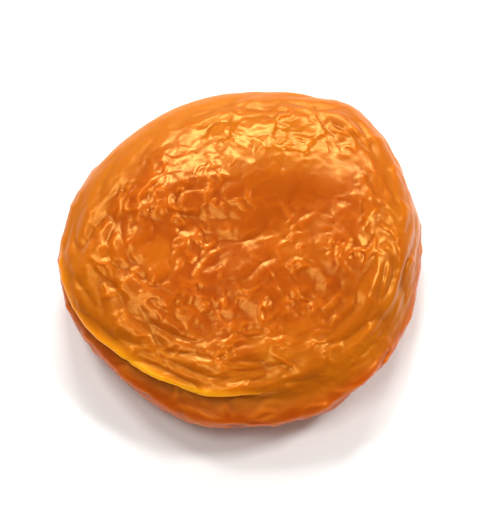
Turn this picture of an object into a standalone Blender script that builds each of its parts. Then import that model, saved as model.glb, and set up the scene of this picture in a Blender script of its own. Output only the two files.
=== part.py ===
"""A whole dried apricot, pitted and pressed flat, lying on its underside.

Lengths are in metres, +Z is up, +X is the fruit's longer way and -Y is its front, where the lower
half stands out past the upper lip. The origin is under the middle of the fruit, on the surface
that it rests on.

The skin is one closed surface. Each of its points is a direction from the fruit's middle, given as
the angle from the crown (tilt) and the angle round the fruit (turn).
"""

from itertools import product

import bmesh
import bpy
import numpy as np

MM = 0.001

# Driving dimensions of the pressed fruit
LIP_RADIUS = 17.84 * MM  # mean radius of the upper half's lip
CROWN_RISE = 4.5 * MM  # from the seam up to the crown
UNDER_DROP = 6.5 * MM  # from the seam down to the underside
CROWN_FULLNESS = 3.1  # exponent of the cross-section: 2 is an ellipse, more is boxier
UNDER_FULLNESS = 3.3
REST_DEPTH = 0.1 * MM  # how much of the underside is pressed flat by the surface

# The outline's waves: how many round the fruit, how high, and the turn of a crest in degrees
OUTLINE_WAVES = (
    (1, 0.23 * MM, -160.0),
    (2, 0.97 * MM, 26.1),
    (3, 0.48 * MM, 56.2),
    (4, 0.09 * MM, 35.4),
    (5, 0.19 * MM, -27.0),
)

# The seam runs round the edge, where pressing folded the skin. Tilts, turns and spreads are in degrees.
SEAM_TILT = 92.0
SEAM_SWAY = 9.4  # how far it lies below that at the back, and above it at the front
SEAM_SWAY_TURN = 70.0  # where it lies lowest
SEAM_WANDER = 7.0  # how far it strays from its line
SEAM_GRAIN = 2.6  # strays this often round the fruit
SEAM_DEPTH = 0.75 * MM
SEAM_SPREAD = 5.0  # half width of the crease
LIP_OFFSET = 12.0  # from the seam up to the lip
LIP_HEIGHT = 0.34 * MM
LIP_SPREAD = 6.0
SHARPEST_TURN = -108.0  # where lip and seam are sharpest
SHARPNESS_LEAST = 0.3  # how sharp they are on the far side, as a share of that
SHARPNESS_CHANGE = 0.35  # how much that varies round the fruit

# The lower half stands out past the lip at the front and lies in under it at the back
STEP_OUT = 3.4 * MM
STEP_TURN = -73.0
STEP_NARROWNESS = 1.26
STEP_ABOVE = 4.0  # it starts this far above the seam
STEP_EASING = 22.0  # and this much further up where the lip is not sharp
STEP_BELOW = 13.0  # it is full this far below the seam
TUCK_IN = 0.5 * MM

# Hollows and swells of the upper face: middle x and y, half length, half width, turn in degrees, height
CROWN_SWELLS = (
    (5.5 * MM, 2.6 * MM, 5.0 * MM, 3.2 * MM, -12.0, -0.25 * MM),
    (-5.5 * MM, 1.5 * MM, 4.5 * MM, 3.0 * MM, 8.0, -0.12 * MM),
    (-1.5 * MM, 5.6 * MM, 9.5 * MM, 4.2 * MM, -8.0, 0.80 * MM),
    (-11.0 * MM, 3.4 * MM, 4.0 * MM, 3.2 * MM, 30.0, 0.40 * MM),
    (12.0 * MM, 0.5 * MM, 3.4 * MM, 6.0 * MM, 0.0, 0.50 * MM),
    (0.0 * MM, -12.0 * MM, 17.0 * MM, 10.0 * MM, 0.0, -1.20 * MM),
)
SWELL_LEVELS = (0.1, 0.7)  # they fade in between these heights, as shares of the rise

# The slit that the stone was pushed out of runs in from the back edge, on the underside
SLIT_TURN = 97.0
SLIT_REACH = (0.42, 0.85)  # it ends and is full at these shares of the radius
SLIT_TILTS = (83.0, 100.0)  # it fades in between these
SLIT_DEPTH = 1.0 * MM
SLIT_HALF_WIDTH = 0.9 * MM

# Folds of the dried skin, rounded crests between sharp creases: long ones round the edge, crossed
# ones over the faces
FOLD_HEIGHT = 1.25 * MM
FOLD_FACE_SHARE = 0.75  # how high they are on the faces, as a share of that
FOLD_MIDDLE = 0.23  # the mean of the pattern, which lies on the smooth form
FOLD_ACROSS = 2.1 * MM  # grain of the pattern, from crease to crease
FOLD_ALONG = 6.0 * MM
FOLD_ON_FACE = 2.9 * MM
FOLD_EDGE = (0.45, 0.85)  # shares of the radius between which one kind turns into the other
FOLD_CHANGE = 0.35  # how much their height varies over the skin
FOLD_SEED = 11
SEAM_CALM = 0.7  # how much lower they are along the seam
REST_CALM = (0.3, 0.85)  # shares of the radius between which the underside's relief fades in
SAG_HEIGHT = 0.55 * MM  # broad, shallow unevenness
SAG_GRAIN = 7.0 * MM
SAG_SEED = 4

# The mesh: a cube of this many squares along each edge, blown up to the skin
SQUARES = 31
SECTION_STEPS = 720
EDGE_CROWDING = 1.1  # how much closer the points lie round the edge, where the seam is
EDGE_SPREAD = 18.0

SKIN_COLOUR = (0.66, 0.19, 0.018, 1.0)
SKIN_ROUGHNESS = 0.35


def clear_scene():
    for old in list(bpy.data.objects):
        bpy.data.objects.remove(old, do_unlink=True)


def smoothstep(low, high, value):
    """0 below low, 1 above high and an S-shaped curve between."""
    share = np.clip((value - low) / (high - low), 0.0, 1.0)
    return share * share * (3.0 - 2.0 * share)


def bell(value, middle, spread):
    return np.exp(-(((value - middle) / spread) ** 2))


def round_bump(turn, middle, narrowness):
    """1 at one turn round the fruit, falling away smoothly to the far side."""
    return np.exp(narrowness * (np.cos(turn - np.radians(middle)) - 1.0))


def noise(points, seed):
    """Smooth random values, about -1 to 1: random slopes at whole-number corners, blended."""
    random = np.random.RandomState(seed)
    slopes = random.normal(size=(256, 3))
    slopes /= np.linalg.norm(slopes, axis=1, keepdims=True)
    shuffle = random.permutation(256)
    cell = np.floor(points).astype(int)
    inside = points - cell
    blend = inside**3 * (inside * (inside * 6.0 - 15.0) + 10.0)
    total = np.zeros(len(points))
    for corner in product((0, 1), repeat=3):
        x, y, z = ((cell + corner) & 255).T
        slope = slopes[shuffle[(shuffle[(shuffle[x] + y) & 255] + z) & 255]]
        weight = np.prod(np.where(corner, blend, 1.0 - blend), axis=1)
        total += weight * np.sum(slope * (inside - corner), axis=1)
    return total * 1.5  # the blend alone spans about two thirds of the way to -1 and 1


def outline_radius(turn):
    """Radius of the upper lip, seen from above."""
    radius = np.full_like(turn, LIP_RADIUS)
    for count, height, crest in OUTLINE_WAVES:
        radius += height * np.cos(count * (turn - np.radians(crest)))
    return radius


def cross_section(tilt):
    """The pressed fruit's half section as shares of its radius and of its rise or drop: a superellipse."""
    fullness = np.where(tilt < np.pi / 2, CROWN_FULLNESS, UNDER_FULLNESS)
    reach = (np.sin(tilt) ** fullness + np.abs(np.cos(tilt)) ** fullness) ** (1.0 / fullness)
    return np.sin(tilt) / reach, np.cos(tilt) / reach


def mean_section():
    """Angles from the crown to the underside, and the skin's length between them."""
    tilts = np.linspace(0.0, np.pi, SECTION_STEPS + 1)
    share, level = cross_section(tilts)
    height = np.where(level > 0.0, CROWN_RISE, UNDER_DROP) * level
    return tilts, np.hypot(np.diff(share * LIP_RADIUS), np.diff(height))


def skin_length(tilt):
    """How far down the skin an angle lies from the crown."""
    tilts, steps = mean_section()
    return np.interp(tilt, tilts, np.concatenate([[0.0], np.cumsum(steps)]))


def spread_tilt(ball_tilt):
    """Spreads a ball's even angles evenly over the skin, and closer round the edge."""
    tilts, steps = mean_section()
    steps *= 1.0 + EDGE_CROWDING * bell(np.degrees(tilts[1:]), SEAM_TILT, EDGE_SPREAD)
    lengths = np.concatenate([[0.0], np.cumsum(steps)])
    return np.interp(ball_tilt / np.pi * lengths[-1], lengths, tilts)


def round_noise(turn, seed):
    """Random values that join up after one turn round the fruit."""
    ring = np.stack([np.cos(turn), np.sin(turn), np.zeros_like(turn)], axis=1)
    return noise(SEAM_GRAIN * ring + 0.5, seed)


def seam_tilt(turn):
    """The seam's angle from the crown, in degrees."""
    sway = SEAM_SWAY * np.cos(turn - np.radians(SEAM_SWAY_TURN))
    return SEAM_TILT + sway + SEAM_WANDER * round_noise(turn, FOLD_SEED + 2)


def edge_relief(tilt, turn):
    """How far the lip stands out and the seam lies in, along the radius."""
    seam = seam_tilt(turn)
    degrees = np.degrees(tilt)
    sharpness = SHARPNESS_LEAST + (1.0 - SHARPNESS_LEAST) * round_bump(turn, SHARPEST_TURN, 1.0)
    sharpness += SHARPNESS_CHANGE * round_noise(turn, FOLD_SEED + 3)
    lip = LIP_HEIGHT * sharpness * bell(degrees, seam - LIP_OFFSET, LIP_SPREAD)
    crease = SEAM_DEPTH * sharpness * bell(degrees, seam, SEAM_SPREAD)
    step = STEP_OUT * round_bump(turn, STEP_TURN, STEP_NARROWNESS) - TUCK_IN
    above = STEP_ABOVE + STEP_EASING * np.clip(1.0 - sharpness, 0.0, 1.0)
    return lip - crease + step * smoothstep(seam - above, seam + STEP_BELOW, degrees)


def swells(x, y):
    """The hollows and swells of the upper face, each an oval bell."""
    height = np.zeros_like(x)
    for middle_x, middle_y, half_length, half_width, angle, rise in CROWN_SWELLS:
        cos, sin = np.cos(np.radians(angle)), np.sin(np.radians(angle))
        along = (x - middle_x) * cos + (y - middle_y) * sin
        across = (y - middle_y) * cos - (x - middle_x) * sin
        height += rise * np.exp(-((along / half_length) ** 2) - (across / half_width) ** 2)
    return height


def slit(x, y, share, tilt):
    """Depth of the stone's slit: a narrow furrow of the underside, dying out inwards."""
    angle = np.radians(SLIT_TURN)
    across = y * np.cos(angle) - x * np.sin(angle)
    along = x * np.cos(angle) + y * np.sin(angle)
    reach = smoothstep(*SLIT_REACH, share) * (along > 0.0)
    below = smoothstep(*SLIT_TILTS, np.degrees(tilt))
    return SLIT_DEPTH * bell(across, 0.0, SLIT_HALF_WIDTH) * reach * below


def pressed_fruit(tilt, turn):
    """The smooth form: the superellipse carried round the outline, with its seam, swells and slit."""
    share, level = cross_section(tilt)
    radius = share * (outline_radius(turn) + edge_relief(tilt, turn))
    x = radius * np.cos(turn)
    y = radius * np.sin(turn)
    z = np.where(level > 0.0, CROWN_RISE, UNDER_DROP) * level
    z += smoothstep(*SWELL_LEVELS, level) * swells(x, y) + slit(x, y, share, tilt)
    return np.stack([x, y, z], axis=1)


def folds(points, tilt, turn):
    """Height of the folds over the smooth form."""
    ring = LIP_RADIUS / FOLD_ALONG
    depth = skin_length(tilt) / FOLD_ACROSS
    round_edge = np.stack([ring * np.cos(turn), ring * np.sin(turn), depth], axis=1)
    edge = smoothstep(*FOLD_EDGE, np.hypot(points[:, 0], points[:, 1]) / LIP_RADIUS)
    pattern = edge * np.abs(noise(round_edge, FOLD_SEED))
    pattern += (1.0 - edge) * np.abs(noise(points / FOLD_ON_FACE, FOLD_SEED + 1))
    strength = 1.0 - FOLD_CHANGE + FOLD_CHANGE * noise(points / SAG_GRAIN, SAG_SEED + 1)
    strength *= 1.0 - SEAM_CALM * bell(np.degrees(tilt), seam_tilt(turn), 2.0 * SEAM_SPREAD)
    strength *= FOLD_FACE_SHARE + (1.0 - FOLD_FACE_SHARE) * edge
    return FOLD_HEIGHT * strength * (pattern - FOLD_MIDDLE)


def relief(points, tilt, turn):
    """Folds and broad sags together, calm where the underside rests."""
    height = folds(points, tilt, turn) + SAG_HEIGHT * noise(points / SAG_GRAIN, SAG_SEED)
    from_middle = np.hypot(points[:, 0], points[:, 1]) / LIP_RADIUS
    return height * np.where(tilt > np.pi / 2, smoothstep(*REST_CALM, from_middle), 1.0)


def stand_on_surface(points):
    """Presses the lowest skin flat and moves the origin under the middle of the fruit's box."""
    points = points.copy()
    floor = points[:, 2].min() + REST_DEPTH
    points[:, 2] = np.maximum(points[:, 2], floor) - floor
    middle = (points.min(axis=0) + points.max(axis=0)) / 2.0
    points[:, :2] -= middle[:2]
    return points


def cube_net():
    """A cube's surface cut into even squares."""
    net = bmesh.new()
    bmesh.ops.create_cube(net, size=2.0)
    bmesh.ops.subdivide_edges(net, edges=net.edges[:], cuts=SQUARES - 1, use_grid_fill=True)
    return net


def skin_material():
    material = bpy.data.materials.new("apricot_skin")
    material.use_nodes = True
    surface = material.node_tree.nodes["Principled BSDF"]
    surface.inputs["Base Color"].default_value = SKIN_COLOUR
    surface.inputs["Roughness"].default_value = SKIN_ROUGHNESS
    surface.inputs["Metallic"].default_value = 0.0
    return material


def place(net, points):
    for vertex, point in zip(net.verts, points):
        vertex.co = point
    net.normal_update()


def build_apricot():
    net = cube_net()
    # The tangent spreads the squares evenly over the ball that the cube is blown up to
    ball = np.tan(np.array([vertex.co for vertex in net.verts]) * np.pi / 4.0)
    ball /= np.linalg.norm(ball, axis=1, keepdims=True)
    tilt = spread_tilt(np.arccos(ball[:, 2]))
    turn = np.arctan2(ball[:, 1], ball[:, 0])
    points = pressed_fruit(tilt, turn)
    place(net, points)
    outward = np.array([vertex.normal for vertex in net.verts])
    points += outward * relief(points, tilt, turn)[:, None]
    place(net, stand_on_surface(points))
    mesh = bpy.data.meshes.new("dried_apricot")
    net.to_mesh(mesh)
    net.free()
    mesh.shade_smooth()
    mesh.materials.append(skin_material())
    apricot = bpy.data.objects.new("dried_apricot", mesh)
    bpy.context.scene.collection.objects.link(apricot)


clear_scene()
build_apricot()
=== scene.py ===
import math
from itertools import product

import bpy
import numpy as np
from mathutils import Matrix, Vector


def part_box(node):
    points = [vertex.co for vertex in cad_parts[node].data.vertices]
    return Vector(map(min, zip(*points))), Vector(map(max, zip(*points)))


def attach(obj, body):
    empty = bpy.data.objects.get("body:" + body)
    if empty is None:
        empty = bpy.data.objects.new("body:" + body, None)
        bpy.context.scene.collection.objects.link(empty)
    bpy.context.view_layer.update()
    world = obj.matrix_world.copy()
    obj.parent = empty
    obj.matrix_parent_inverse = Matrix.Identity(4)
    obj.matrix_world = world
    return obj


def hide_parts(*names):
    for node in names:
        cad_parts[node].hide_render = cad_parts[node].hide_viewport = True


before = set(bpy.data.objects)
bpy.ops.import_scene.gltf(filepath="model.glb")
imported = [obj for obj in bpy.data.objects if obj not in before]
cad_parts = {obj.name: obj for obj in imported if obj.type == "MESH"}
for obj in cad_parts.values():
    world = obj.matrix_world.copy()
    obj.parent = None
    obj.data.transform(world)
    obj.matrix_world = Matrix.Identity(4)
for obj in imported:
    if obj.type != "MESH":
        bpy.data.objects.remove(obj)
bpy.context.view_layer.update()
mm = 0.001
noisePeriod = 256  # the noise repeats after this many corners, a power of two
noiseGain = 1.5  # brings its values to about -1 to 1


# 0 below low, 1 above high and an S-shaped curve between
def easeBetween(low, high, value):
    share = np.clip((value - low) / (high - low), 0.0, 1.0)
    return share * share * (3.0 - 2.0 * share)


# A bell curve: 1 at the middle and 1/e at one spread from it
def bell(value, middle, spread):
    return np.exp(-(((value - middle) / spread) ** 2))


# 1 at one turn round the fruit, falling away smoothly to the far side
def roundBump(turn, middle, narrowness):
    return np.exp(narrowness * (np.cos(turn - np.radians(middle)) - 1.0))


# 1 at an oval's middle, falling away as a bell along it and across it. The oval is its middle x and y,
# half length and half width in millimetres, and its turn in degrees
def ovalBell(x, y, middleX, middleY, halfLength, halfWidth, turn):
    cos, sin = math.cos(math.radians(turn)), math.sin(math.radians(turn))
    fromX, fromY = x / mm - middleX, y / mm - middleY
    along = (fromX * cos + fromY * sin) / halfLength
    across = (fromY * cos - fromX * sin) / halfWidth
    return np.exp(-(along**2) - across**2)


# Smooth random values: each whole-number corner of space has a random slope, and the slopes' planes
# are blended between the eight corners round a point
def slopeNoise(points, seed):
    random = np.random.RandomState(seed)
    slopes = random.normal(size=(noisePeriod, 3))
    slopes /= np.linalg.norm(slopes, axis=1, keepdims=True)
    shuffle = random.permutation(noisePeriod)
    cell = np.floor(points).astype(int)
    inside = points - cell
    blend = inside**3 * (inside * (inside * 6.0 - 15.0) + 10.0)  # S-shaped from 0 to 1
    last = noisePeriod - 1
    total = np.zeros(len(points))
    for corner in product((0, 1), repeat=3):
        x, y, z = ((cell + corner) & last).T
        slope = slopes[shuffle[(shuffle[(shuffle[x] + y) & last] + z) & last]]
        weight = np.prod(np.where(corner, blend, 1.0 - blend), axis=1)
        total += weight * np.sum(slope * (inside - corner), axis=1)
    return total * noiseGain


# The fruit's skin. Here tilts are degrees down from the crown and turns are degrees round it from the
# right; in the functions they are radians. An oval is its middle x and y, half length and half width
# in millimetres, and its turn
apricotSkin = {
    "form": {
        "lipRadius": 17.84 * mm,
        "crownRise": 4.5 * mm,
        "underDrop": 6.5 * mm,
        "crownFullness": 3.1,  # 2 is an ellipse, more is boxier
        "underFullness": 3.3,
        "restDepth": 0.16 * mm,  # how much of the underside the surface presses flat
        # waves round the outline: how many, how high in millimetres, and the turn of a crest
        "outlineWaves": (
            (1, 0.23, -160.0),
            (2, 0.97, 26.1),
            (3, 0.48, 56.2),
            (4, 0.09, 35.4),
            (5, 0.19, -27.0),
        ),
        # hollows and swells of the face: an oval, and its height in millimetres
        "swells": (
            (5.5, 2.6, 5.0, 3.2, -12.0, -0.25),
            (-5.5, 1.5, 4.5, 3.0, 8.0, -0.12),
            (-1.5, 5.6, 9.5, 4.2, -8.0, 0.80),
            (-11.0, 3.4, 4.0, 3.2, 30.0, 0.40),
            (12.0, 0.5, 3.4, 6.0, 0.0, 0.50),
            (0.0, -12.0, 17.0, 10.0, 0.0, -1.20),
        ),
        "swellLevels": (0.1, 0.7),  # they fade in between these shares of the crown's height
        "upperSide": (0.0, 0.35),  # cosines of the tilt between which the edge turns into the face
    },
    "seam": {
        "tilt": 92.0,  # how far down from the crown it runs
        "sway": 9.4,  # how far it dips towards one turn
        "swayTurn": 70.0,
        "wander": 7.0,
        "wanderSeed": 13,
        "grain": 2.6,  # more is more wandering round the fruit
        "ringShift": 0.5,  # keeps the ring off the noise's corners, where it is nought
        "depth": 0.55 * mm,
        "spread": 5.0,
        "lipOffset": 12.0,  # how far above the seam the lip's crest lies
        "lipHeight": 0.34 * mm,
        "lipSpread": 6.0,
        "sharpestTurn": -122.0,  # where lip and seam are sharpest
        "sharpnessNarrowness": 1.8,
        "sharpnessLeast": 0.2,
        "sharpnessChange": 0.35,
        "sharpnessSeed": 14,
        "stepOut": 3.4 * mm,  # how far the lower half stands out past the lip
        "stepTurn": -73.0,
        "stepNarrowness": 1.26,
        "stepAbove": 4.0,
        "stepEasing": 22.0,  # how much further up it starts where the lip is not sharp
        "stepBelow": 13.0,
        "tuckIn": 0.5 * mm,
    },
    "slit": {
        "turn": 97.0,
        "reach": (0.42, 0.85),  # it opens between these shares of the radius
        "tilts": (83.0, 100.0),
        "depth": 1.0 * mm,
        "halfWidth": 0.9 * mm,
    },
    "folds": {
        "height": 0.8 * mm,
        "faceShare": 0.45,  # how high they are on the faces, as a share of that
        "middle": 0.23,  # the pattern's mean, taken off so that folds go in as well as out
        "across": 2.1 * mm,
        "along": 6.0 * mm,
        "onFace": 2.9 * mm,
        "edge": (0.45, 0.85),  # shares of the radius between which they turn to run round the edge
        "edgeSeed": 11,
        "faceSeed": 12,
        "change": 0.35,  # how much their height changes from place to place
        "changeSeed": 5,
        "seamCalm": 0.7,  # the share taken off along the seam
        "seamSpread": 10.0,
        "restCalm": (0.3, 0.85),  # shares of the radius between which the underside turns from calm
        "sagHeight": 0.55 * mm,
        "sagGrain": 7.0 * mm,
        "sagSeed": 4,
        # calmer places: an oval, and the share of the height taken off, or put on where it is below nought
        "places": (
            (7.5, 5.0, 6.0, 4.2, 0.0, 0.85),
            (-12.0, 8.5, 8.5, 4.2, 50.0, 0.75),
            (-6.0, 14.5, 7.5, 2.6, 30.0, 0.6),
            (4.0, 15.5, 12.0, 3.0, -10.0, 0.5),
            (14.0, -1.5, 3.5, 5.0, 0.0, -0.4),
            (-10.6, 3.8, 3.5, 2.6, 0.0, -0.9),
            (6.5, 13.0, 4.5, 2.5, -15.0, -1.2),
        ),
    },
    "wrinkles": {
        # layers of fine ridges: grain, how much longer round the edge, height, half width as a share
        # of the grain, seed
        "ridges": (
            (2.1 * mm, 1.7, 0.17 * mm, 0.13, 41),
            (1.4 * mm, 1.8, 0.14 * mm, 0.17, 23),
            (0.9 * mm, 2.0, 0.05 * mm, 0.23, 25),
        ),
        # the skin's soft swelling between them: grain, how much longer, height, seed
        "pillow": (1.1 * mm, 1.5, 0.07 * mm, 27),
        "strokeGrain": 1.2,  # grain of the gaps between strokes, as a share of a layer's grain
        "strokeEnds": (-0.3, 0.3),
        "warp": 0.45,  # how far a layer is pulled about, as a share of its grain
        "warpGrain": 1.6,  # the grain of that pulling, as a share of the layer's
        "stepStretch": 1.3,  # how much longer the skin is where the lower half steps out
        "edge": (0.35, 0.8),  # shares of the radius between which they turn to run round the edge
        "patchGrain": 3.2 * mm,  # grain of the patches where they are strong or faint
        "patchSeed": 31,
        "usual": 0.58,  # the share of their height between the patches
        "patchChange": 0.6,
        # what is added to a layer's seed for its noise round the edge, its pulling and its strokes
        "edgeSeed": 1,
        "warpSeeds": (50, 51, 52),
        "edgeWarpSeed": 53,
        "strokeSeed": 60,
        # smoother places, as for the folds
        "places": (
            (5.6, 3.4, 5.5, 3.0, -12.0, 0.85),
            (9.4, 6.4, 3.8, 3.0, 0.0, 0.8),
            (12.5, -7.0, 3.6, 3.0, 40.0, 0.7),
            (-12.0, 8.5, 8.5, 3.6, 50.0, 0.75),
            (-6.0, 14.5, 7.5, 2.6, 30.0, 0.65),
            (4.0, 15.8, 12.0, 2.4, -10.0, 0.7),
            (14.0, -1.5, 3.5, 4.0, 0.0, -0.25),
            (-0.5, -2.5, 4.5, 3.5, 0.0, 0.4),
            (6.5, 12.5, 4.5, 2.8, -10.0, -0.4),
            (-10.6, 3.8, 3.5, 2.2, 0.0, -0.6),
        ),
    },
    "net": {
        "squares": 128,  # along each edge of the cube that is blown up to the skin
        "sectionSteps": 720,  # the parts from crown to underside that its length is added up from
        "crowding": 0.5,  # how much closer they lie near the seam
        "crowdingSpread": 18.0,
    },
    "tones": {
        "lowerStart": (-2.0, 8.0),  # degrees past the seam between which the lower half's colour begins
        "rimShares": (0.55, 1.0),  # shares of the radius between which the painted glow of light through the rim begins
        "rimTurn": 110.0,
        "rimNarrowness": 1.0,
        "rimLeast": 0.5,
        "rear": (2.0, 10.5, 11.0, 4.5, -5.0),  # an oval of the face that gets the painted glow too
        "rearGlow": 0.8,
        "rearLight": 0.7,  # the share of the creases' painted shade that goes there
        # a crease this deep has the painted shade in full
        "creaseDepth": 0.12 * mm,
        "gutterOffset": 3.0,  # the painted shade line under the lip
        "gutterSpread": 6.0,
        "gutterDark": 0.8,
        "ridgeHeight": 0.1 * mm,  # a ridge this high has its painted highlight in full
        "matteShares": (0.72, 0.94),  # shares of the radius between which the rim turns matte
        "matteTurn": 118.0,
        "matteNarrowness": 1.2,
        "matteLevels": (-0.1, 0.2),  # shares of the crown's height between which it begins
        "lowerMatte": 0.5,
        "lipSpread": 5.0,
        "lipTurn": -114.0,
        "lipNarrowness": 2.0,
        "lipEnds": (-76.0, -94.0),  # turns between which the painted highlight along the lip begins
    },
    "finish": {
        # red, green and blue; all but flesh, blush and gold lie where the attribute of that name is
        "flesh": (0.385, 0.065, 0.001),
        "blush": (0.36, 0.051, 0.001),
        "gold": (0.47, 0.108, 0.002),
        "lower": (0.49, 0.080, 0.001),
        # painted shade: darker in the folds' creases and in the gutter under the lip
        "crease": (0.31, 0.034, 0.001),
        # painted highlight: the fine ridges' crests painted lighter
        "ridge": (0.48, 0.095, 0.002),
        # painted glow: the rim and the rear of the face painted golden as if light shone through them
        "paintedGlow": (0.47, 0.134, 0.002),
        # painted highlight along the lip's crest
        "lip": (0.95, 0.36, 0.006),
        # patches of blush and gold: how many per metre, detail, and the noise between which they begin
        "blushPatches": (180.0, 2.0, 0.42, 0.66),
        "goldPatches": (110.0, 1.0, 0.5, 0.68),
        "glow": 1.0,
        "glowReach": (2.2 * mm, 1.5 * mm, 0.5 * mm),  # how far red, green and blue light run inside
        "roughness": 0.25,
        "matteRoughness": 0.5,
        "lightBending": 1.46,  # index of refraction
        "glint": 0.78,
        "glintTint": (1.0, 0.55, 0.12),
        "crumpleGrain": 900.0,  # per metre
        "crumpleDetail": 4.0,
        "crumpleDepth": 0.03 * mm,
    },
}
form = apricotSkin["form"]
seam = apricotSkin["seam"]
slit = apricotSkin["slit"]
fold = apricotSkin["folds"]
wrinkle = apricotSkin["wrinkles"]
net = apricotSkin["net"]
tone = apricotSkin["tones"]
finish = apricotSkin["finish"]


# Radius of the upper lip seen from above: a circle and a few cosine waves round it
def outlineRadius(turn):
    radius = np.full_like(turn, form["lipRadius"])
    for count, height, crest in form["outlineWaves"]:
        radius += height * mm * np.cos(count * (turn - np.radians(crest)))
    return radius


# A superellipse: sine and cosine of the tilt, divided by the root of the sum of their powers
def crossSection(tilt):
    fullness = np.where(tilt < np.pi / 2, form["crownFullness"], form["underFullness"])
    reach = (np.sin(tilt) ** fullness + np.abs(np.cos(tilt)) ** fullness) ** (1.0 / fullness)
    return np.sin(tilt) / reach, np.cos(tilt) / reach


# Height over the lip's level: the cross section times the crown's rise above it or the drop below it
def levelHeight(level):
    return np.where(level > 0.0, form["crownRise"], form["underDrop"]) * level


# Angles from the crown to the underside, and the skin's length from each to the next
def meanSection():
    tilts = np.linspace(0.0, np.pi, net["sectionSteps"] + 1)
    share, level = crossSection(tilts)
    return tilts, np.hypot(np.diff(share * form["lipRadius"]), np.diff(levelHeight(level)))


# How far down the skin an angle lies from the crown: the sum of those lengths
def skinLength(tilt):
    tilts, steps = meanSection()
    return np.interp(tilt, tilts, np.concatenate([[0.0], np.cumsum(steps)]))


# Spreads a ball's even angles evenly over the skin, a little closer round the edge
def spreadTilt(ballTilt, crowding):
    tilts, steps = meanSection()
    steps *= 1.0 + crowding * bell(np.degrees(tilts[1:]), seam["tilt"], net["crowdingSpread"])
    lengths = np.concatenate([[0.0], np.cumsum(steps)])
    return np.interp(ballTilt / np.pi * lengths[-1], lengths, tilts)


# Slope noise along a ring round the fruit, so it closes on itself
def roundNoise(turn, seed):
    ring = np.stack([np.cos(turn), np.sin(turn), np.zeros_like(turn)], axis=1)
    return slopeNoise(seam["grain"] * ring + seam["ringShift"], seed)


# The seam's angle from the crown: a level line, one cosine and a little wandering
def seamTilt(turn):
    sway = seam["sway"] * np.cos(turn - np.radians(seam["swayTurn"]))
    return seam["tilt"] + sway + seam["wander"] * roundNoise(turn, seam["wanderSeed"])


# How sharp lip and seam are: most at one turn, least on the far side, with a little noise
def seamSharpness(turn):
    least = seam["sharpnessLeast"]
    bump = roundBump(turn, seam["sharpestTurn"], seam["sharpnessNarrowness"])
    sharpness = least + (1.0 - least) * bump
    return sharpness + seam["sharpnessChange"] * roundNoise(turn, seam["sharpnessSeed"])


# How far the lower half stands out past the lip: an S-shaped step down across the seam
def lowerStep(tilt, turn):
    line = seamTilt(turn)
    step = seam["stepOut"] * roundBump(turn, seam["stepTurn"], seam["stepNarrowness"]) - seam["tuckIn"]
    above = seam["stepAbove"] + seam["stepEasing"] * np.clip(1.0 - seamSharpness(turn), 0.0, 1.0)
    return step * easeBetween(line - above, line + seam["stepBelow"], np.degrees(tilt))


# How far the lip stands out and the seam lies in along the radius: a bell for the lip and a bell
# for the crease, with the step of the lower half
def edgeRelief(tilt, turn):
    line = seamTilt(turn)
    degrees = np.degrees(tilt)
    lip = seam["lipHeight"] * bell(degrees, line - seam["lipOffset"], seam["lipSpread"])
    crease = seam["depth"] * bell(degrees, line, seam["spread"])
    return seamSharpness(turn) * (lip - crease) + lowerStep(tilt, turn)


# The hollows and swells of the face, each an oval bell
def faceSwells(x, y):
    height = np.zeros_like(x)
    for *oval, rise in form["swells"]:
        height += rise * mm * ovalBell(x, y, *oval)
    return height


# 1 on the face and 0 on the underside, eased by the cosine of the tilt
def upperSide(tilt):
    return easeBetween(*form["upperSide"], np.cos(tilt))


# The slit that the stone came out of: a narrow bell across, fading out inwards
def stoneSlit(x, y, share, tilt):
    angle = math.radians(slit["turn"])
    across = y * math.cos(angle) - x * math.sin(angle)
    along = x * math.cos(angle) + y * math.sin(angle)
    reach = easeBetween(*slit["reach"], share) * (along > 0.0)
    below = easeBetween(*slit["tilts"], np.degrees(tilt))
    return slit["depth"] * bell(across, 0.0, slit["halfWidth"]) * reach * below


# The superellipse carried round the outline, with its seam, swells and slit
def pressedFruit(tilt, turn):
    share, level = crossSection(tilt)
    radius = share * (outlineRadius(turn) + edgeRelief(tilt, turn))
    x = radius * np.cos(turn)
    y = radius * np.sin(turn)
    z = levelHeight(level)
    z += easeBetween(*form["swellLevels"], level) * faceSwells(x, y) + stoneSlit(x, y, share, tilt)
    return np.stack([x, y, z], axis=1)


# How far a point is from the fruit's middle, as a share of the lip's radius
def fromMiddle(points):
    return np.hypot(points[:, 0], points[:, 1]) / form["lipRadius"]


# A place in a pattern that is stretched round the fruit: a ring whose radius is the lip's over the
# pattern's length, and a depth down the skin
def aroundEdge(turn, length, depth):
    ring = form["lipRadius"] / length
    return np.stack([ring * np.cos(turn), ring * np.sin(turn), depth], axis=1)


# A factor for relief: 1, less a share inside each oval of the upper side
def calmed(points, tilt, places):
    factor = np.ones(len(points))
    upper = upperSide(tilt)
    for *oval, share in places:
        factor *= 1.0 - share * upper * ovalBell(points[:, 0], points[:, 1], *oval)
    return factor


# Folds: the size of a slope noise, which is round on the crests and sharp in the creases.
# Near the edge it is stretched round the fruit, over the faces it lies all ways
def foldHeight(points, tilt, turn):
    edge = easeBetween(*fold["edge"], fromMiddle(points))
    roundEdge = aroundEdge(turn, fold["along"], skinLength(tilt) / fold["across"])
    pattern = edge * np.abs(slopeNoise(roundEdge, fold["edgeSeed"]))
    pattern += (1.0 - edge) * np.abs(slopeNoise(points / fold["onFace"], fold["faceSeed"]))
    change = slopeNoise(points / fold["sagGrain"], fold["changeSeed"])
    strength = 1.0 - fold["change"] + fold["change"] * change
    strength *= 1.0 - fold["seamCalm"] * bell(np.degrees(tilt), seamTilt(turn), fold["seamSpread"])
    strength *= fold["faceShare"] + (1.0 - fold["faceShare"]) * edge
    return fold["height"] * strength * (pattern - fold["middle"])


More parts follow.
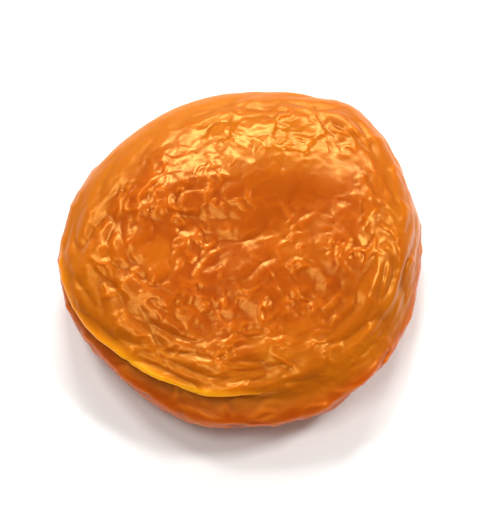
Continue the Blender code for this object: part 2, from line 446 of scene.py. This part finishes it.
# Folds and broad sags together, calm where the underside rests
def broadRelief(points, tilt, turn):
    height = foldHeight(points, tilt, turn)
    height += fold["sagHeight"] * slopeNoise(points / fold["sagGrain"], fold["sagSeed"])
    height *= calmed(points, tilt, fold["places"])
    return height * np.where(tilt > np.pi / 2, easeBetween(*fold["restCalm"], fromMiddle(points)), 1.0)


# Two slope noises of one grain over the skin: one on the fruit's own space, for the faces, and one
# that is stretched round the fruit, for the edge. The point is first pulled about a little
def skinNoises(points, tilt, turn, grain, longer, seed):
    pull = wrinkle["warp"] * grain
    spread = points / (wrinkle["warpGrain"] * grain)
    pulls = [slopeNoise(spread, seed + extra) for extra in wrinkle["warpSeeds"]]
    onFace = slopeNoise((points + pull * np.stack(pulls, axis=1)) / grain, seed)
    down = skinLength(tilt) + wrinkle["stepStretch"] * lowerStep(tilt, turn)
    down += pull * slopeNoise(spread, seed + wrinkle["edgeWarpSeed"])
    roundEdge = aroundEdge(turn, grain * longer, down / grain)
    return onFace, slopeNoise(roundEdge, seed + wrinkle["edgeSeed"])


# The fine ridges: a ridge stands where a slope noise passes through nought, with a bell across it,
# so ridges are thin, wander and meet. A coarser noise breaks them into strokes, and the skin
# between them swells softly
def fineRidges(points, tilt, turn):
    edge = easeBetween(*wrinkle["edge"], fromMiddle(points))
    height = np.zeros(len(points))
    for grain, longer, rise, width, seed in wrinkle["ridges"]:
        onFace, roundEdge = skinNoises(points, tilt, turn, grain, longer, seed)
        ridge = edge * bell(roundEdge, 0.0, width) + (1.0 - edge) * bell(onFace, 0.0, width)
        broken = slopeNoise(points / (wrinkle["strokeGrain"] * grain), seed + wrinkle["strokeSeed"])
        height += rise * ridge * easeBetween(*wrinkle["strokeEnds"], broken)
    grain, longer, rise, seed = wrinkle["pillow"]
    onFace, roundEdge = skinNoises(points, tilt, turn, grain, longer, seed)
    return height + rise * (edge * roundEdge + (1.0 - edge) * onFace)


# How strong they are: patches of a slope noise, and smoother in some places of the face
def ridgeStrength(points, tilt):
    patches = wrinkle["patchChange"] * slopeNoise(points / wrinkle["patchGrain"], wrinkle["patchSeed"])
    return (wrinkle["usual"] + patches) * calmed(points, tilt, wrinkle["places"])


# A cube's six sides as whole-number grids, welded along its edges, and the quads between them
def cubeNet(squares):
    row = np.arange(squares + 1)
    first, second = np.meshgrid(row, row, indexing="ij")
    sides, quads = [], []
    for axis, end in product(range(3), (0, squares)):
        side = np.empty(first.shape + (3,), int)
        side[..., axis] = end
        side[..., (axis + 1) % 3] = first
        side[..., (axis + 2) % 3] = second
        index = np.arange(first.size).reshape(first.shape) + len(sides) * first.size
        corners = np.stack([index[:-1, :-1], index[1:, :-1], index[1:, 1:], index[:-1, 1:]], axis=-1)
        corners = corners.reshape(-1, 4)
        quads.append(corners if end else corners[:, ::-1])
        sides.append(side.reshape(-1, 3))
    points, weld = np.unique(np.concatenate(sides), axis=0, return_inverse=True)
    return points, weld.ravel()[np.concatenate(quads)]


# The cube's points blown up to a ball: evenly spaced by the tangent, then set to length 1
def ballDirections(corners, squares):
    ball = np.tan((2.0 * corners / squares - 1.0) * np.pi / 4.0)
    return ball / np.linalg.norm(ball, axis=1, keepdims=True)


# A smooth-shaded mesh of quads
def newMesh(name, points, quads):
    mesh = bpy.data.meshes.new(name)
    mesh.vertices.add(len(points))
    mesh.vertices.foreach_set("co", points.astype(np.float32).ravel())
    mesh.loops.add(quads.size)
    mesh.loops.foreach_set("vertex_index", quads.astype(np.int32).ravel())
    mesh.polygons.add(len(quads))
    mesh.polygons.foreach_set("loop_start", np.arange(0, quads.size, 4, dtype=np.int32))
    mesh.update(calc_edges=True)
    mesh.shade_smooth()
    return mesh


# Puts a mesh's points in new places
def movePoints(mesh, points):
    mesh.vertices.foreach_set("co", points.astype(np.float32).ravel())
    mesh.update()


# The skin's outward direction at each point
def outwards(mesh):
    normals = np.empty(len(mesh.vertices) * 3, np.float32)
    mesh.vertex_normals.foreach_get("vector", normals)
    return normals.reshape(-1, 3).astype(float)


# Presses the lowest skin flat, then sets the whole into the box of the solid that it stands for
def standInBox(points, low, high):
    floor = points[:, 2].min() + form["restDepth"]
    points[:, 2] = np.maximum(points[:, 2], floor)
    lowest, highest = points.min(axis=0), points.max(axis=0)
    share = (points - lowest) / (highest - lowest)
    return low + share * (high - low)


# Where the skin's colours, its painted shade, highlights and glow, and its matte places lie, each from 0
# to 1: S-shaped ramps over the radius and past the seam, bumps round the fruit, ovals of the face, and how
# deep or high the relief is
def skinTones(smooth, tilt, turn, ridges):
    share, level = crossSection(tilt)
    pastSeam = np.degrees(tilt) - seamTilt(turn)
    lower = easeBetween(*tone["lowerStart"], pastSeam)
    rear = upperSide(tilt) * ovalBell(smooth[:, 0], smooth[:, 1], *tone["rear"])

    # Painted glow: the rim, most at the back, and an oval of the rear face are painted golden as if light
    # shone through the thin flesh
    rimBump = roundBump(turn, tone["rimTurn"], tone["rimNarrowness"])
    paintedGlow = tone["rimLeast"] + (1.0 - tone["rimLeast"]) * rimBump
    paintedGlow *= easeBetween(*tone["rimShares"], share) * (1.0 - lower)

    # Painted shade: the folds' creases and the gutter under the lip are painted darker; the gutter is also
    # more matte
    folded = easeBetween(0.0, -tone["creaseDepth"], foldHeight(smooth, tilt, turn))
    gutter = bell(pastSeam, tone["gutterOffset"], tone["gutterSpread"])
    gutter *= np.clip(seamSharpness(turn), 0.0, 1.0)

    matte = easeBetween(*tone["matteShares"], share) * easeBetween(*tone["matteLevels"], level)
    matte *= roundBump(turn, tone["matteTurn"], tone["matteNarrowness"])

    # Painted highlight: a bright line along the lip's crest, at the front
    lip = bell(pastSeam, -seam["lipOffset"], tone["lipSpread"])
    lip *= roundBump(turn, tone["lipTurn"], tone["lipNarrowness"])
    return {
        "lower": lower,
        "paintedGlow": np.maximum(paintedGlow, tone["rearGlow"] * rear),
        "crease": np.maximum(folded * (1.0 - tone["rearLight"] * rear), tone["gutterDark"] * gutter),
        # painted highlight: the higher a fine ridge, the lighter its crest is painted
        "ridge": np.clip(ridges / tone["ridgeHeight"], 0.0, 1.0),
        "matte": np.maximum(matte, np.maximum(tone["lowerMatte"] * lower, gutter)),
        "lip": lip * easeBetween(*tone["lipEnds"], np.degrees(turn)),
    }


# The fruit in its stages: pressed smooth, folded along its normals, wrinkled along the new normals,
# and set into its box
def buildApricot():
    corners, quads = cubeNet(net["squares"])
    ball = ballDirections(corners, net["squares"])
    tilt = spreadTilt(np.arccos(np.clip(ball[:, 2], -1.0, 1.0)), net["crowding"])
    turn = np.arctan2(ball[:, 1], ball[:, 0])
    smooth = pressedFruit(tilt, turn)
    mesh = newMesh("apricotSkin", smooth, quads)
    folded = smooth + outwards(mesh) * broadRelief(smooth, tilt, turn)[:, None]
    movePoints(mesh, folded)
    print("fruit pressed and folded")

    ridges = ridgeStrength(smooth, tilt) * fineRidges(smooth, tilt, turn)
    wrinkled = folded + outwards(mesh) * ridges[:, None]
    low, high = (np.array(corner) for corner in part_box("dried_apricot"))
    movePoints(mesh, standInBox(wrinkled, low, high))
    print("skin wrinkled")

    for name, values in skinTones(smooth, tilt, turn, ridges).items():
        attribute = mesh.attributes.new(name, "FLOAT", "POINT")
        attribute.data.foreach_set("value", values.astype(np.float32))
    apricot = bpy.data.objects.new("apricotSkin", mesh)
    bpy.context.scene.collection.objects.link(apricot)
    print("tones laid on the skin")
    return apricot


# Flesh that light runs into under a thin gloss: patches of colour, the lower half's colour, painted shade
# in the creases, painted highlights on the ridges and the lip and a painted glow at the rim lie one over
# another, the rim and the lower half are more matte, and a faint crumple breaks the glints
def skinMaterial():
    material = bpy.data.materials.new("dryApricotSkin")
    material.use_nodes = True
    nodes, links = material.node_tree.nodes, material.node_tree.links
    surface = nodes["Principled BSDF"]
    place = nodes.new("ShaderNodeTexCoord")

    def attribute(name):
        reader = nodes.new("ShaderNodeAttribute")
        reader.attribute_name = name
        return reader.outputs["Fac"]

    def noise(grain, detail, kind="FBM"):
        texture = nodes.new("ShaderNodeTexNoise")
        texture.noise_type = kind
        texture.inputs["Scale"].default_value = grain
        texture.inputs["Detail"].default_value = detail
        links.new(place.outputs["Object"], texture.inputs["Vector"])
        return texture.outputs["Fac"]

    def mapRange(value, kind, limits):
        spread = nodes.new("ShaderNodeMapRange")
        spread.interpolation_type = kind
        for name, limit in limits.items():
            spread.inputs[name].default_value = limit
        links.new(value, spread.inputs["Value"])
        return spread.outputs["Result"]

    def patches(grain, detail, low, high):
        return mapRange(noise(grain, detail), "SMOOTHSTEP", {"From Min": low, "From Max": high})

    layers = [
        ("blush", patches(*finish["blushPatches"])),
        ("gold", patches(*finish["goldPatches"])),
    ]
    # the lower half's colour, then painted shade, a painted highlight on the ridges, the painted glow and
    # a painted highlight along the lip
    layers += [(name, attribute(name)) for name in ("lower", "crease", "ridge", "paintedGlow", "lip")]
    under = nodes.new("ShaderNodeRGB").outputs["Color"]
    under.default_value = (*finish["flesh"], 1.0)
    for name, share in layers:
        mix = nodes.new("ShaderNodeMix")
        mix.data_type = "RGBA"
        links.new(share, mix.inputs["Factor"])
        first, second = (socket for socket in mix.inputs if socket.type == "RGBA")
        links.new(under, first)
        second.default_value = (*finish[name], 1.0)
        under = next(socket for socket in mix.outputs if socket.type == "RGBA")
    links.new(under, surface.inputs["Base Color"])

    limits = {"To Min": finish["roughness"], "To Max": finish["matteRoughness"]}
    links.new(mapRange(attribute("matte"), "LINEAR", limits), surface.inputs["Roughness"])
    settings = {
        "IOR": finish["lightBending"],
        "Specular IOR Level": finish["glint"],
        "Specular Tint": (*finish["glintTint"], 1.0),
        "Subsurface Weight": finish["glow"],
        "Subsurface Radius": finish["glowReach"],
        "Subsurface Scale": 1.0,
    }
    for name, value in settings.items():
        surface.inputs[name].default_value = value

    bump = nodes.new("ShaderNodeBump")
    bump.inputs["Distance"].default_value = finish["crumpleDepth"]
    crumple = noise(finish["crumpleGrain"], finish["crumpleDetail"], "RIDGED_MULTIFRACTAL")
    links.new(crumple, bump.inputs["Height"])
    links.new(bump.outputs["Normal"], surface.inputs["Normal"])
    return material


paleFloor = {
    "halfSide": 2.0,
    "drop": 0.02 * mm,  # just under the fruit, so that they don't share a plane
    "colour": (0.92, 0.92, 0.92, 1.0),
    "roughness": 0.8,
}


# A square of pale paper, clear from below so that the underside can be looked at
def buildFloor():
    side = paleFloor["halfSide"]
    corners = np.array([(-side, -side), (side, -side), (side, side), (-side, side)])
    corners = np.column_stack([corners, np.full(4, -paleFloor["drop"])])
    mesh = newMesh("paleFloor", corners, np.array([[0, 1, 2, 3]]))
    floor = bpy.data.objects.new("paleFloor", mesh)
    bpy.context.scene.collection.objects.link(floor)
    material = bpy.data.materials.new("palePaper")
    material.use_nodes = True
    nodes, links = material.node_tree.nodes, material.node_tree.links
    surface = nodes["Principled BSDF"]
    surface.inputs["Base Color"].default_value = paleFloor["colour"]
    surface.inputs["Roughness"].default_value = paleFloor["roughness"]
    clear = nodes.new("ShaderNodeBsdfTransparent")
    geometry = nodes.new("ShaderNodeNewGeometry")
    mix = nodes.new("ShaderNodeMixShader")
    links.new(geometry.outputs["Backfacing"], mix.inputs["Fac"])
    links.new(surface.outputs["BSDF"], mix.inputs[1])
    links.new(clear.outputs["BSDF"], mix.inputs[2])
    links.new(mix.outputs["Shader"], nodes["Material Output"].inputs["Surface"])
    mesh.materials.append(material)


softboxes = {
    "colour": (1.0, 0.985, 0.965),
    # place in metres, size across and along, power in watts
    "lamps": (
        ((-0.02, 0.52, 0.53), 0.22, 0.18, 3.6),
        ((0.45, 0.12, 0.60), 0.16, 0.16, 2.6),
        ((-0.28, 0.31, 0.62), 0.16, 0.16, 1.8),
        ((-0.15, -0.13, 0.71), 0.24, 0.20, 1.4),
        ((0.21, 0.55, 0.46), 0.12, 0.12, 1.3),
    ),
    "roomColour": (1.0, 0.98, 0.95, 1.0),
    "roomStrength": 0.30,
}


# Square lamps that all look at the fruit, in a pale room that lights it a little from every side
def buildLights():
    for number, (place, across, along, power) in enumerate(softboxes["lamps"]):
        lamp = bpy.data.lights.new(f"softbox{number + 1}", "AREA")
        lamp.shape = "RECTANGLE"
        lamp.size = across
        lamp.size_y = along
        lamp.energy = power
        lamp.color = softboxes["colour"]
        thing = bpy.data.objects.new(lamp.name, lamp)
        thing.location = place
        lookAtFruit(thing)
        bpy.context.scene.collection.objects.link(thing)
    world = bpy.data.worlds.new("paleRoom")
    world.use_nodes = True
    background = world.node_tree.nodes["Background"]
    background.inputs["Color"].default_value = softboxes["roomColour"]
    background.inputs["Strength"].default_value = softboxes["roomStrength"]
    bpy.context.scene.world = world


view = {
    "aim": (0.0, 0.0, 5.5 * mm),  # what the camera and the lamps point at
    "distance": 0.45,
    "elevation": 66.0,
    "width": 50.0 * mm,  # what the picture takes in across
    "sensor": 36.0,
    "nearest": 0.01,
}


# Turns a lamp or the camera to the fruit
def lookAtFruit(thing):
    way = Vector(view["aim"]) - thing.location
    thing.rotation_euler = way.to_track_quat("-Z", "Y").to_euler()


# A camera that looks down at the fruit. Its lens is the sensor's width times the distance over the
# width that the picture takes in
def buildCamera():
    elevation = math.radians(view["elevation"])
    back = Vector((0.0, -math.cos(elevation), math.sin(elevation)))
    lens = bpy.data.cameras.new("camera")
    lens.sensor_fit = "HORIZONTAL"
    lens.sensor_width = view["sensor"]
    lens.lens = view["sensor"] * view["distance"] / view["width"]
    lens.clip_start = view["nearest"]
    camera = bpy.data.objects.new("camera", lens)
    camera.location = Vector(view["aim"]) + view["distance"] * back
    lookAtFruit(camera)
    bpy.context.scene.collection.objects.link(camera)
    bpy.context.scene.camera = camera


apricot = buildApricot()
apricot.data.materials.append(skinMaterial())
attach(apricot, "root")
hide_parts("dried_apricot")
print("apricot finished")

buildFloor()
buildLights()
buildCamera()
bpy.context.scene.view_settings.view_transform = "Standard"
print("floor, lights and camera set up")
